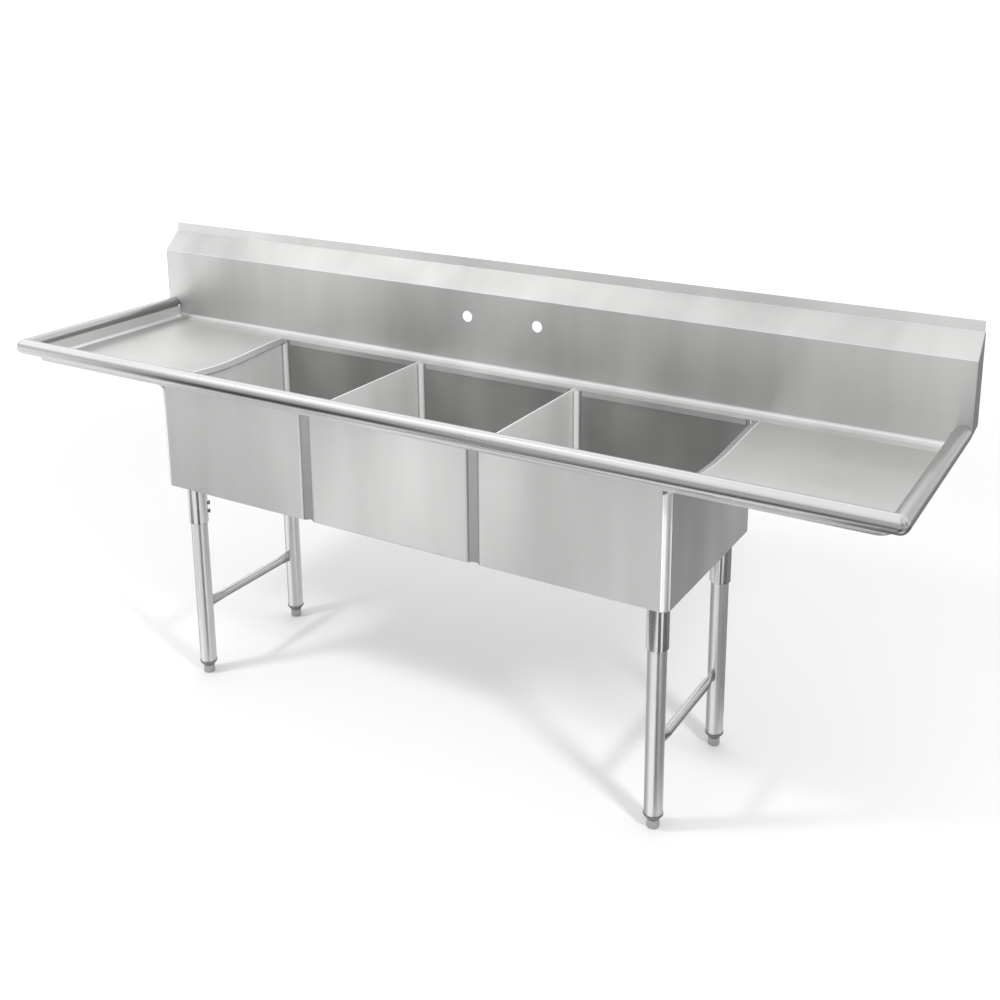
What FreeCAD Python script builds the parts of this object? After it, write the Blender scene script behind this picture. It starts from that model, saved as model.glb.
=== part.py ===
"""Three compartment sink with two drainboards, a splash and four adjustable legs.

Frame: X runs along the sink, Y from the front rim (negative) to the wall (positive) and Z up.
The origin is the middle of the footprint, on the floor. All sizes are in millimetres.
Every sub-part is written to parts/NAME.step.
"""
import FreeCAD, Part
import math
import os

Vector = FreeCAD.Vector

# ---------------------------------------------------------------- driving dimensions
LENGTH = 2286.0                 # over both ends of the splash
DEPTH = 597.0                   # wall to the front of the rolled rim
HEIGHT = 1069.0                 # floor to the top of the splash
SHEET = 1.5                     # 16 gauge stainless sheet

DECK_Z = 797.0                  # top of the drainboards and of the ledges round the bowls
RIM_TOP_Z = 855.0
RIM_R = 19.0                    # the rolled rim is 38 mm across
RISER_GAP = 5.0                 # the riser stops this far below the rim's centre line
RISER_COVE_R = 9.0              # inside bend between deck and riser
TRAY_CORNER_R = 28.5            # inside, in plan
TRAY_DISH = 12.0                # how far the drainboard sags at the bowl, mid depth
RIM_END_R = 7.0                 # rounding where a side rim ends at the splash
WELD_BEAD_R = 6.0               # upright bead between side riser and splash

SPLASH_DEPTH = 50.0             # splash panel to wall
SPLASH_BEND_Z = 994.0           # where the panel bends back towards the wall
SPLASH_LIP = 24.0               # upright lip against the wall
SPLASH_COVE_R = 16.0
SPLASH_WING_Z = 834.0           # bottom of the panel outside the risers
SPLASH_CAP_REAR_Z = 840.0
BEND_R = 1.5                    # inside radius of the sharp bends
FAUCET_SPACING = 203.2
FAUCET_HOLE_R = 14.3
FAUCET_Z = 928.0

BOWL_PITCH = 454.0
BOWL_WIDTH = 453.0              # outside
BOWL_FRONT_Y = -247.5           # outside
BOWL_REAR_Y = 216.5             # outside
BOWL_BOTTOM_Z = 531.4
BOWL_CORNER_R = 19.0            # outside, in plan
BOWL_FLOOR_R = 5.0              # outside
FLANGE_BOTTOM_Z = 783.0         # turned-down edges of the ledges, inside the openings
CREASE_X = 694.0                # where the drainboard turns down into the end bowl
DRIP_X = 673.0                  # free edge of that turned-down lip
DRIP_DROP = 9.0

DIVIDER_CAP_TOP_Z = 801.0
DIVIDER_CAP_ROUNDING = 1.8
SEAM_STRIP_WIDTH = 23.0
SEAM_RECESS = 2.0
SEAM_BOTTOM_GAP = 6.0
GUSSET_WIDTH = 38.0

LEG_X = 636.0
LEG_FRONT_Y = -190.5
LEG_REAR_Y = 155.5
LEG_R = 20.65                   # 1 5/8 in tube
LEG_WALL = 1.6
LEG_BOTTOM_Z = 35.0
LEG_TOP_Z = 524.0
LEG_PLATE = 72.0
LEG_PLATE_T = 3.0
SOCKET_R = 24.15
SOCKET_BORE_R = 20.95
SOCKET_BOTTOM_Z = 421.0
SOCKET_CHAMFER = 1.5
SCREW_HEIGHTS = (447.0, 469.0)
SCREW_R = 3.0
SCREW_HEAD_R = 5.6              # across the corners
SCREW_HEAD_T = 4.0
SCREW_NECK = 1.0
HEXAGON_SIDES = 6

CROSSBAR_Z = 190.0
CROSSBAR_R = 11.1
CROSSBAR_WALL = 1.5
CROSSBAR_END_HALF_HEIGHT = 15.0
CROSSBAR_END_HALF_WIDTH = 4.5
CROSSBAR_FLATTENING = 30.0      # length over which the round bar is pressed flat
CROSSBAR_FLAT = 12.0            # length of the pressed end outside the leg

INSERT_FLANGE_R = 21.8
INSERT_FLANGE_Z = 31.0
INSERT_NOSE_R = 14.0
INSERT_NOSE_Z = 20.3
INSERT_PLUG_R = 18.95
INSERT_TOP_Z = 75.0
FOOT_R = 13.9
FOOT_TOP_Z = 20.0
FOOT_CHAMFER = 2.4
STUD_R = 6.30
STUD_BORE_R = 6.35
STUD_TOP_Z = 72.0

DRAIN_HOLE_R = 45.5
DRAIN_FLANGE_R = 57.0
DRAIN_FLANGE_T = 1.6
DRAIN_CUP_R = 44.0
DRAIN_CUP_DEPTH = 46.0          # below the bowl floor's top
DRAIN_MOUTH_R = 42.0
DRAIN_SHOULDER_DEPTH = 7.0
DRAIN_THROAT_R = 38.5
DRAIN_WALL = 2.0
SPIGOT_R = 23.0
SPIGOT_BORE_R = 17.5
SPIGOT_LENGTH = 19.0
GASKET_R = 58.0
GASKET_T = 3.0
WASHER_T = 1.0
LOCKNUT_R = 56.0
LOCKNUT_LUG_R = 63.0
LOCKNUT_LUG_WIDTH = 16.0
LOCKNUT_LUGS = 6
LOCKNUT_T = 9.0
THREAD_CLEARANCE = 0.1
COUPLING_CORNER_R = 31.0
COUPLING_HEIGHT = 18.0
COUPLING_LIP = 3.0
TAILPIECE_R = 19.05             # 1 1/2 in tube
TAILPIECE_WALL = 1.2
TAILPIECE_NECK_R = 19.6         # swaged end that stays inside the coupling nut
TAILPIECE_NECK_LENGTH = 3.5
TAILPIECE_FLANGE_R = 22.5
TAILPIECE_FLANGE_T = 2.0
TAILPIECE_BOTTOM_Z = 410.0

BASKET_GAP = 0.3                # basket flange above the shoulder that carries it
BASKET_FLANGE_R = 41.5
BASKET_R = 37.5
BASKET_WALL = 1.0
BASKET_DEPTH = 26.0
BASKET_POST_R = 3.5
BASKET_KNOB_R = 9.0
BASKET_KNOB_HEIGHT = 8.0
BASKET_POST_TOP = 37.0          # above the basket floor
BASKET_HOLE_R = 2.5
BASKET_HOLE_RINGS = ((12.0, 6), (22.0, 12), (31.0, 18))    # ring radius, number of holes
BASKET_SLOTS = 18
BASKET_SLOT_HEIGHT = 14.0
BASKET_SLOT_WIDTH = 3.0
SEAL_R = 26.0
SEAL_T = 4.0
SEAL_STEM = 2.0                 # gap between basket floor and seal

# ---------------------------------------------------------------- worked-out places
HALF_LENGTH = LENGTH / 2
WALL_Y = DEPTH / 2
FRONT_Y = -DEPTH / 2
SPLASH_Y = WALL_Y - SPLASH_DEPTH
RIM_X = HALF_LENGTH - RIM_R
RIM_Y = FRONT_Y + RIM_R
RIM_Z = RIM_TOP_Z - RIM_R
RISER_X = HALF_LENGTH - 2 * RIM_R
RISER_Y = FRONT_Y + 2 * RIM_R
RISER_TOP_Z = RIM_Z - RISER_GAP
DECK_BOTTOM_Z = DECK_Z - SHEET
LEDGE_FRONT_Y = BOWL_FRONT_Y + 2 * SHEET        # front edge of the openings
LEDGE_REAR_Y = BOWL_REAR_Y - 2 * SHEET          # rear edge of the openings
COVE_END_X = RISER_X - RISER_COVE_R
COVE_END_Y = RISER_Y + RISER_COVE_R
SPLASH_FOOT = [(SPLASH_Y, SPLASH_WING_Z), (SPLASH_Y, DECK_Z), (LEDGE_REAR_Y, DECK_Z)]
BOWL_Y = (BOWL_FRONT_Y + BOWL_REAR_Y) / 2
BOWL_CENTERS = {"left": -BOWL_PITCH, "center": 0.0, "right": BOWL_PITCH}
DIVIDERS = {"left": -BOWL_PITCH / 2, "right": BOWL_PITCH / 2}
BOWL_FLOOR_Z = BOWL_BOTTOM_Z + SHEET
PASS = 10.0                     # how far a cutter runs past the face that it cuts
LEGS = {
    "front_left": (-LEG_X, LEG_FRONT_Y),
    "front_right": (LEG_X, LEG_FRONT_Y),
    "rear_left": (-LEG_X, LEG_REAR_Y),
    "rear_right": (LEG_X, LEG_REAR_Y),
}
NEAR = 0.01                     # tolerance for picking edges by their place
X_AXIS = Vector(1, 0, 0)
Y_AXIS = Vector(0, 1, 0)
Z_AXIS = Vector(0, 0, 1)
ORIGIN = Vector(0, 0, 0)


# ---------------------------------------------------------------- helpers
def box(x0, x1, y0, y1, z0, z1):
    return Part.makeBox(x1 - x0, y1 - y0, z1 - z0, Vector(x0, y0, z0))


def upright(radius, z0, z1, x=0.0, y=0.0):
    return Part.makeCylinder(radius, z1 - z0, Vector(x, y, z0), Z_AXIS)


def upright_ring(outer, inner, z0, z1, x=0.0, y=0.0):
    ring = upright(outer, z0, z1, x, y)
    return ring.cut(upright(inner, z0 - PASS, z1 + PASS, x, y))


def prism(points, direction):
    """Closed outline swept along a vector."""
    wire = Part.makePolygon(points + [points[0]])
    return Part.Face(wire).extrude(direction)


def turned(profile):
    """Solid of revolution about Z from (radius, height) points."""
    points = [Vector(radius, 0, height) for radius, height in profile]
    wire = Part.makePolygon(points + [points[0]])
    return Part.Face(wire).revolve(ORIGIN, Z_AXIS, 360)


def moved(shape, x=0.0, y=0.0, z=0.0):
    copy = shape.copy()
    copy.translate(Vector(x, y, z))
    return copy


def mirrored(shape):
    """The same piece at the other end of the sink."""
    return shape.mirror(ORIGIN, X_AXIS)


def around_z(shape, count):
    """A piece repeated evenly round the Z axis."""
    copies = []
    for index in range(count):
        copy = shape.copy()
        copy.rotate(ORIGIN, Z_AXIS, 360.0 * index / count)
        copies.append(copy)
    return Part.makeCompound(copies)


def largest(shape):
    return max(shape.Solids, key=lambda solid: solid.Volume)


def joined(first, *others):
    return first.multiFuse(list(others)).removeSplitter()


def rounded_box(x0, x1, y0, y1, z0, z1, corner_r, floor_r):
    """Box with rounded upright edges and rounded bottom edges."""
    solid = box(x0, x1, y0, y1, z0, z1)
    uprights = [edge for edge in solid.Edges if edge.BoundBox.ZLength > z1 - z0 - NEAR]
    solid = solid.makeFillet(corner_r, uprights)
    bottom = [edge for edge in solid.Edges if edge.BoundBox.ZMax < z0 + NEAR]
    return solid.makeFillet(floor_r, bottom)


def corner_arc(previous, corner, following, radius):
    """Start, middle and end of the arc that rounds one corner of a path."""
    back = (previous - corner).normalize()
    ahead = (following - corner).normalize()
    half_angle = back.getAngle(ahead) / 2
    reach = radius / math.tan(half_angle)
    inward = (back + ahead).normalize()
    middle = corner + inward * (radius / math.sin(half_angle) - radius)
    return corner + back * reach, middle, corner + ahead * reach


def rounded_path(points, radii):
    """Edges of an open path whose corners are rounded by the matching radii."""
    edges = []
    cursor = points[0]
    for index, radius in enumerate(radii):
        start, middle, end = corner_arc(points[index], points[index + 1], points[index + 2], radius)
        edges.append(Part.makeLine(cursor, start))
        edges.append(Part.Arc(start, middle, end).toShape())
        cursor = end
    edges.append(Part.makeLine(cursor, points[-1]))
    return edges


def bent_sheet(outline, inside_radii, x0, x1):
    """Sheet bent along (y, z) points, with its thickness on the left of the path."""
    points = [Vector(x0, y, z) for y, z in outline]
    normals = []
    for start, end in zip(points, points[1:]):
        normals.append(X_AXIS.cross((end - start).normalize()))
    far_points = [points[0] + normals[0] * SHEET]
    near_radii = []
    far_radii = []
    for index, radius in enumerate(inside_radii):
        before = normals[index]
        after = normals[index + 1]
        far_points.append(points[index + 1] + (before + after) * (SHEET / (1 + before.dot(after))))
        turns_left = X_AXIS.dot(before.cross(after)) > 0
        near_radii.append(radius + SHEET if turns_left else radius)
        far_radii.append(radius if turns_left else radius + SHEET)
    far_points.append(points[-1] + normals[-1] * SHEET)
    near_edges = rounded_path(points, near_radii)
    far_edges = rounded_path(far_points, far_radii)
    ends = [Part.makeLine(points[0], far_points[0]), Part.makeLine(points[-1], far_points[-1])]
    wire = Part.Wire(Part.__sortEdges__(near_edges + far_edges + ends))
    return Part.Face(wire).extrude(Vector(x1 - x0, 0, 0))


# ---------------------------------------------------------------- rolled rim
def front_rim_core(radius):
    return Part.makeCylinder(radius, 2 * RIM_X, Vector(-RIM_X, RIM_Y, RIM_Z), X_AXIS)


def side_rim_core(radius, y1):
    return Part.makeCylinder(radius, y1 - RIM_Y, Vector(-RIM_X, RIM_Y, RIM_Z), Y_AXIS)


def round_ended_rim(radius, y1, end_r):
    """Left side rim's core with its rear end rounded."""
    rim = side_rim_core(radius, y1)
    end_edges = [edge for edge in rim.Edges if edge.BoundBox.YMin > y1 - NEAR]
    return rim.makeFillet(end_r, end_edges)


def rim_corner():
    """Outer quarter of the left corner: the rolled section turned through a right angle."""
    center = Vector(-RIM_X, RIM_Y, RIM_Z)
    outer = Part.makeSphere(RIM_R, center)
    inner = Part.makeSphere(RIM_R - SHEET, center)
    quarter = box(-RIM_X - 2 * RIM_R, -RIM_X, RIM_Y - 2 * RIM_R, RIM_Y, RIM_Z - 2 * RIM_R, RIM_Z + 2 * RIM_R)
    return outer.cut(inner).common(quarter)


def mitre_block(toward_front):
    """Everything on one side of the left corner's inner mitre plane."""
    reach = 2 * RIM_R
    corner = Vector(-RIM_X, RIM_Y, RIM_Z - reach)
    diagonal = corner + Vector(reach, reach, 0)
    square = corner + (Vector(reach, 0, 0) if toward_front else Vector(0, reach, 0))
    return prism([corner, diagonal, square], Vector(0, 0, 2 * reach))


def make_front_rim():
    rim = front_rim_core(RIM_R).cut(front_rim_core(RIM_R - SHEET))
    behind_mitre = mitre_block(toward_front=False)
    rim = rim.cut(behind_mitre).cut(mirrored(behind_mitre))
    corner = rim_corner()
    return joined(rim, corner, mirrored(corner))


def make_side_rim_left():
    rim = round_ended_rim(RIM_R, SPLASH_Y, RIM_END_R)
    rim = rim.cut(round_ended_rim(RIM_R - SHEET, SPLASH_Y - SHEET, RIM_END_R - SHEET))
    return rim.cut(mitre_block(toward_front=True))


# ---------------------------------------------------------------- drainboards
def tray_block(grow, z0, z1, corner_r, floor_r):
    """Block with one rounded upright corner and rounded bottom edges, open towards bowl and splash."""
    x0 = -RISER_X - grow
    y0 = RISER_Y - grow
    block = box(x0, -CREASE_X, y0, SPLASH_Y, z0, z1)
    upright_edges = []
    for edge in block.Edges:
        bounds = edge.BoundBox
        if bounds.ZLength > z1 - z0 - NEAR and bounds.XMax < x0 + NEAR and bounds.YMax < y0 + NEAR:
            upright_edges.append(edge)
    block = block.makeFillet(corner_r, upright_edges)
    bottom = []
    for edge in block.Edges:
        bounds = edge.BoundBox
        outside = bounds.XMax < x0 + corner_r + NEAR or bounds.YMax < y0 + corner_r + NEAR
        if bounds.ZMax < z0 + NEAR and outside:
            bottom.append(edge)
    return block.makeFillet(floor_r, bottom)


def sag_curve(x, z, dish):
    """Edge across the drainboard that starts and ends level and sags by dish in the middle."""
    curve = Part.BSplineCurve()
    middle_y = (COVE_END_Y + LEDGE_REAR_Y) / 2
    points = [Vector(x, COVE_END_Y, z), Vector(x, middle_y, z - dish), Vector(x, LEDGE_REAR_Y, z)]
    curve.interpolate(Points=points, InitialTangent=Y_AXIS, FinalTangent=Y_AXIS)
    return curve.toShape()


def make_drainboard_left():
    outer = tray_block(SHEET, DECK_BOTTOM_Z, RISER_TOP_Z, TRAY_CORNER_R + SHEET, RISER_COVE_R + SHEET)
    inner = tray_block(0.0, DECK_Z, RISER_TOP_Z + PASS, TRAY_CORNER_R, RISER_COVE_R)
    walls = outer.cut(inner)

    deck_area = box(-COVE_END_X, -CREASE_X, COVE_END_Y, LEDGE_REAR_Y, DECK_Z - 4 * TRAY_DISH, DECK_Z + PASS)
    corner_edges = []
    for edge in deck_area.Edges:
        bounds = edge.BoundBox
        if bounds.XMax < -COVE_END_X + NEAR and bounds.YMax < COVE_END_Y + NEAR:
            corner_edges.append(edge)
    deck_area = deck_area.makeFillet(TRAY_CORNER_R - RISER_COVE_R, corner_edges)
    ledge_area = box(-COVE_END_X, -CREASE_X, LEDGE_REAR_Y, SPLASH_Y, DECK_BOTTOM_Z - PASS, DECK_Z + PASS)
    walls = walls.cut(deck_area).cut(ledge_area)

    level_edge = sag_curve(-COVE_END_X, DECK_Z, 0.0)
    crease = sag_curve(-CREASE_X, DECK_Z, TRAY_DISH)
    drip_edge = sag_curve(-DRIP_X, DECK_Z - DRIP_DROP, TRAY_DISH)
    down = Vector(0, 0, -SHEET)
    deck = Part.makeRuledSurface(level_edge, crease).extrude(down).common(deck_area)
    lip = Part.makeRuledSurface(crease, drip_edge).extrude(down)
    in_front = box(-CREASE_X - PASS, -DRIP_X + PASS, COVE_END_Y - PASS, LEDGE_FRONT_Y, 0, RIM_TOP_Z)
    lip = lip.cut(in_front)

    corner_x = -RISER_X + TRAY_CORNER_R
    corner_y = RISER_Y + TRAY_CORNER_R
    corner_fill = box(-RISER_X, corner_x, RISER_Y, corner_y, RIM_Z - RIM_R, RISER_TOP_Z)
    corner_fill = corner_fill.cut(upright(TRAY_CORNER_R, RIM_Z - 2 * RIM_R, RIM_Z, corner_x, corner_y))

    bead_x = -RISER_X + WELD_BEAD_R
    bead_y = SPLASH_Y - WELD_BEAD_R
    bead = box(-RISER_X, bead_x, bead_y, SPLASH_Y, DECK_Z + RISER_COVE_R, RISER_TOP_Z)
    bead = bead.cut(upright(WELD_BEAD_R, DECK_Z, RIM_Z, bead_x, bead_y))

    rear_cove = bent_sheet(SPLASH_FOOT, [SPLASH_COVE_R], -RISER_X, -COVE_END_X)
    board = joined(walls, deck, lip, corner_fill, bead, rear_cove)
    return board.cut(side_rim_core(RIM_R, SPLASH_Y)).cut(front_rim_core(RIM_R))


# ---------------------------------------------------------------- ledges and splash
def turned_down_flanges(y0, y1):
    """Edges turned down into the three openings, and the small closures beside the drip lips."""
    flanges = []
    half_flat = BOWL_WIDTH / 2 - BOWL_CORNER_R
    for x in BOWL_CENTERS.values():
        flanges.append(box(x - half_flat, x + half_flat, y0, y1, FLANGE_BOTTOM_Z, DECK_Z))
    outline = [
        Vector(-CREASE_X, y0, DECK_Z),
        Vector(-CREASE_X, y0, DECK_BOTTOM_Z),
        Vector(-DRIP_X, y0, DECK_BOTTOM_Z - DRIP_DROP),
        Vector(-DRIP_X, y0, DECK_Z),
    ]
    closure = prism(outline, Vector(0, y1 - y0, 0))
    return flanges + [closure, mirrored(closure)]


def make_front_apron():
    outline = [(LEDGE_FRONT_Y, DECK_Z), (RISER_Y, DECK_Z), (RISER_Y, RISER_TOP_Z)]
    sheet = bent_sheet(outline, [RISER_COVE_R], -CREASE_X, CREASE_X)
    apron = joined(sheet, *turned_down_flanges(LEDGE_FRONT_Y - SHEET, LEDGE_FRONT_Y))
    return apron.cut(front_rim_core(RIM_R))


def splash_outline(bottom_z):
    lip_y = WALL_Y - SHEET
    return [(lip_y, HEIGHT), (lip_y, HEIGHT - SPLASH_LIP), (SPLASH_Y, SPLASH_BEND_Z), (SPLASH_Y, bottom_z)]


def make_backsplash():
    wing_x = HALF_LENGTH - SHEET
    wings = bent_sheet(splash_outline(SPLASH_WING_Z), [BEND_R, BEND_R], -wing_x, wing_x)
    foot = bent_sheet(SPLASH_FOOT, [SPLASH_COVE_R], -COVE_END_X, COVE_END_X)
    splash = joined(wings, foot, *turned_down_flanges(LEDGE_REAR_Y, LEDGE_REAR_Y + SHEET))
    for x in (-FAUCET_SPACING / 2, FAUCET_SPACING / 2):
        hole = Part.makeCylinder(FAUCET_HOLE_R, SPLASH_DEPTH, Vector(x, SPLASH_Y - PASS, FAUCET_Z), Y_AXIS)
        splash = splash.cut(hole)
    return splash


def make_splash_end_cap_left():
    outline = [
        Vector(-HALF_LENGTH, SPLASH_Y, SPLASH_WING_Z),
        Vector(-HALF_LENGTH, SPLASH_Y, SPLASH_BEND_Z),
        Vector(-HALF_LENGTH, WALL_Y, HEIGHT - SPLASH_LIP),
        Vector(-HALF_LENGTH, WALL_Y, SPLASH_CAP_REAR_Z),
    ]
    return prism(outline, Vector(SHEET, 0, 0))


# ---------------------------------------------------------------- bowls
def bowl_block(x, inset):
    """Solid block of one bowl, inside its sheet by inset."""
    half = BOWL_WIDTH / 2 - inset
    top = DECK_BOTTOM_Z + (PASS if inset else 0.0)
    return rounded_box(x - half, x + half, BOWL_FRONT_Y + inset, BOWL_REAR_Y - inset,
                       BOWL_BOTTOM_Z + inset, top, BOWL_CORNER_R - inset, BOWL_FLOOR_R - inset)


def above_drip_lip(side):
    """Everything above the underside of a drainboard's turned-down lip."""
    start = sag_curve(-CREASE_X - PASS, DECK_BOTTOM_Z, TRAY_DISH)
    slope = DRIP_DROP / (CREASE_X - DRIP_X)
    crease = sag_curve(-CREASE_X, DECK_BOTTOM_Z, TRAY_DISH)
    far_x = DRIP_X - PASS
    far_z = DECK_BOTTOM_Z - slope * (CREASE_X - far_x)
    beyond = sag_curve(-far_x, far_z, TRAY_DISH)
    up = Vector(0, 0, RIM_TOP_Z - DECK_Z)
    flat_part = Part.makeRuledSurface(start, crease).extrude(up)
    sloping_part = Part.makeRuledSurface(crease, beyond).extrude(up)
    region = flat_part.fuse(sloping_part)
    return region if side == "left" else mirrored(region)


def make_bowl(side, x):
    bowl = bowl_block(x, 0.0).cut(bowl_block(x, SHEET))
    bowl = bowl.cut(upright(DRAIN_HOLE_R, BOWL_BOTTOM_Z - PASS, BOWL_BOTTOM_Z + PASS, x, BOWL_Y))
    if side != "center":
        bowl = bowl.cut(above_drip_lip(side))
    return largest(bowl)


def make_divider_cap(x):
    """Rounded bar on the walls of two neighbouring bowls, with the gussets at its ends."""
    half = BOWL_PITCH / 2 - BOWL_WIDTH / 2 + SHEET
    bar = box(x - half, x + half, LEDGE_FRONT_Y, LEDGE_REAR_Y, DECK_BOTTOM_Z, DIVIDER_CAP_TOP_Z)
    top_edges = []
    for edge in bar.Edges:
        if edge.BoundBox.ZMin > DIVIDER_CAP_TOP_Z - NEAR and edge.BoundBox.YLength > GUSSET_WIDTH:
            top_edges.append(edge)
    bar = bar.makeFillet(DIVIDER_CAP_ROUNDING, top_edges)
    gussets = []
    for y0, y1 in ((BOWL_FRONT_Y + SHEET, LEDGE_FRONT_Y + BOWL_CORNER_R),
                   (LEDGE_REAR_Y - BOWL_CORNER_R, BOWL_REAR_Y - SHEET)):
        plate = box(x - GUSSET_WIDTH / 2, x + GUSSET_WIDTH / 2, y0, y1, DECK_BOTTOM_Z - SHEET, DECK_BOTTOM_Z)
        gussets.append(plate)
    cap = joined(bar, *gussets)
    for neighbour in (x - BOWL_PITCH / 2, x + BOWL_PITCH / 2):
        cap = cap.cut(bowl_block(neighbour, 0.0))
    return largest(cap)


def make_seam_strip(x, face_y, inward):
    """Flat strip that closes the groove between two rounded bowl corners."""
    y0 = face_y + inward * SEAM_RECESS
    y1 = y0 + inward * SHEET
    half = SEAM_STRIP_WIDTH / 2
    bottom = BOWL_BOTTOM_Z + SEAM_BOTTOM_GAP
    strip = box(x - half, x + half, min(y0, y1), max(y0, y1), bottom, DECK_BOTTOM_Z - SHEET)
    for neighbour in (x - BOWL_PITCH / 2, x + BOWL_PITCH / 2):
        strip = strip.cut(bowl_block(neighbour, 0.0))
    return largest(strip)


# ---------------------------------------------------------------- legs
def make_leg_plate(x, y):
    half = LEG_PLATE / 2
    return box(x - half, x + half, y - half, y + half, BOWL_BOTTOM_Z - LEG_PLATE_T, BOWL_BOTTOM_Z)


def screw_direction(x):
    """Set screws face the middle of the sink and the wall."""
    return Vector(-math.copysign(1, x), 1, 0).normalize()


def make_leg_socket(x, y):
    top = BOWL_BOTTOM_Z - LEG_PLATE_T
    socket = upright_ring(SOCKET_R, SOCKET_BORE_R, SOCKET_BOTTOM_Z, top, x, y)
    rim = []
    for edge in socket.Edges:
        if edge.BoundBox.ZMax < SOCKET_BOTTOM_Z + NEAR and edge.BoundBox.XLength > 2 * SOCKET_R - NEAR:
            rim.append(edge)
    socket = socket.makeChamfer(SOCKET_CHAMFER, rim)
    for z in SCREW_HEIGHTS:
        hole = Part.makeCylinder(SCREW_R, SOCKET_R + PASS, Vector(x, y, z), screw_direction(x))
        socket = socket.cut(hole)
    return socket


def make_socket_set_screws():
    """Two screws in every socket: a shank against the leg and a six-sided head outside."""
    screws = []
    for x, y in LEGS.values():
        direction = screw_direction(x)
        angle = math.degrees(math.atan2(direction.y, direction.x))
        shank_start = LEG_R
        head_start = SOCKET_R + SCREW_NECK
        head = Part.Face(Part.makePolygon(hexagon(SCREW_HEAD_R))).extrude(Vector(0, 0, SCREW_HEAD_T))
        head = moved(head, z=head_start)
        shank = upright(SCREW_R, shank_start, head_start + SCREW_HEAD_T / 2)
        screw = joined(head, shank)
        screw.rotate(ORIGIN, Y_AXIS, 90)
        screw.rotate(ORIGIN, Z_AXIS, angle)
        for z in SCREW_HEIGHTS:
            screws.append(moved(screw, x, y, z))
    return Part.makeCompound(screws)


def hexagon(corner_r):
    """Corners of a six-sided nut or screw head, with the first one again at the end."""
    corners = []
    for index in range(HEXAGON_SIDES):
        angle = 2 * math.pi * index / HEXAGON_SIDES
        corners.append(Vector(corner_r * math.cos(angle), corner_r * math.sin(angle), 0))
    return corners + [corners[0]]


def make_leg_tube(x, y):
    return upright_ring(LEG_R, LEG_R - LEG_WALL, LEG_BOTTOM_Z, LEG_TOP_Z, x, y)


def bar_section(y, half_width, half_height):
    """Upright oval section of the crossbar at y."""
    center = Vector(0, y, CROSSBAR_Z)
    if half_height > half_width:
        major = center + Vector(0, 0, half_height)
        minor = center + Vector(half_width, 0, 0)
        return Part.Wire(Part.Ellipse(major, minor, center).toShape())
    return Part.Wire(Part.Circle(center, Y_AXIS, half_width).toShape())


def make_crossbar(x):
    """Round tube between a front and a rear leg, pressed to an upright oval at both ends."""
    flat_start = LEG_FRONT_Y + LEG_R + CROSSBAR_FLAT
    flat_end = LEG_REAR_Y - LEG_R - CROSSBAR_FLAT
    round_start = flat_start + CROSSBAR_FLATTENING
    round_end = flat_end - CROSSBAR_FLATTENING
    oval = (CROSSBAR_END_HALF_WIDTH, CROSSBAR_END_HALF_HEIGHT)
    circle = (CROSSBAR_R, CROSSBAR_R)
    bore_r = CROSSBAR_R - CROSSBAR_WALL
    start = Vector(0, round_start, CROSSBAR_Z)
    length = round_end - round_start
    middle = Part.makeCylinder(CROSSBAR_R, length, start, Y_AXIS)
    middle = middle.cut(Part.makeCylinder(bore_r, length, start, Y_AXIS))
    ends = [(round_start, flat_start, LEG_FRONT_Y), (round_end, flat_end, LEG_REAR_Y)]
    pieces = []
    for inner_y, outer_y, leg_y in ends:
        taper = Part.makeLoft([bar_section(inner_y, *circle), bar_section(outer_y, *oval)], True)
        end_face = Part.Face(bar_section(outer_y, *oval))
        stub = end_face.extrude(Vector(0, leg_y - outer_y, 0))
        stub = stub.cut(upright(LEG_R, 0, LEG_TOP_Z, 0, leg_y))
        pieces.append(taper)
        pieces.append(largest(stub))
    return moved(joined(middle, *pieces), x)


def make_foot_insert(x, y):
    """Tapered collar under the tube's end, with a plug inside it and a threaded bore."""
    profile = [
        (STUD_BORE_R, INSERT_NOSE_Z),
        (INSERT_NOSE_R, INSERT_NOSE_Z),
        (INSERT_FLANGE_R, INSERT_FLANGE_Z),
        (INSERT_FLANGE_R, LEG_BOTTOM_Z),
        (INSERT_PLUG_R, LEG_BOTTOM_Z),
        (INSERT_PLUG_R, INSERT_TOP_Z),
        (STUD_BORE_R, INSERT_TOP_Z),
    ]
    return moved(turned(profile), x, y)


def make_bullet_foot(x, y):
    profile = [
        (0, 0),
        (FOOT_R - FOOT_CHAMFER / 2, 0),
        (FOOT_R, FOOT_CHAMFER),
        (FOOT_R, FOOT_TOP_Z),
        (STUD_R, FOOT_TOP_Z),
        (STUD_R, STUD_TOP_Z),
        (0, STUD_TOP_Z),
    ]
    return moved(turned(profile), x, y)


# ---------------------------------------------------------------- drains
CUP_BOTTOM_Z = BOWL_FLOOR_Z - DRAIN_CUP_DEPTH
SPIGOT_BOTTOM_Z = CUP_BOTTOM_Z - SPIGOT_LENGTH
SHOULDER_Z = BOWL_FLOOR_Z - DRAIN_SHOULDER_DEPTH
GASKET_BOTTOM_Z = BOWL_BOTTOM_Z - GASKET_T
WASHER_BOTTOM_Z = GASKET_BOTTOM_Z - WASHER_T
LOCKNUT_BOTTOM_Z = WASHER_BOTTOM_Z - LOCKNUT_T
THREAD_R = DRAIN_CUP_R + THREAD_CLEARANCE
BASKET_FLOOR_Z = SHOULDER_Z - BASKET_DEPTH


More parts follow.
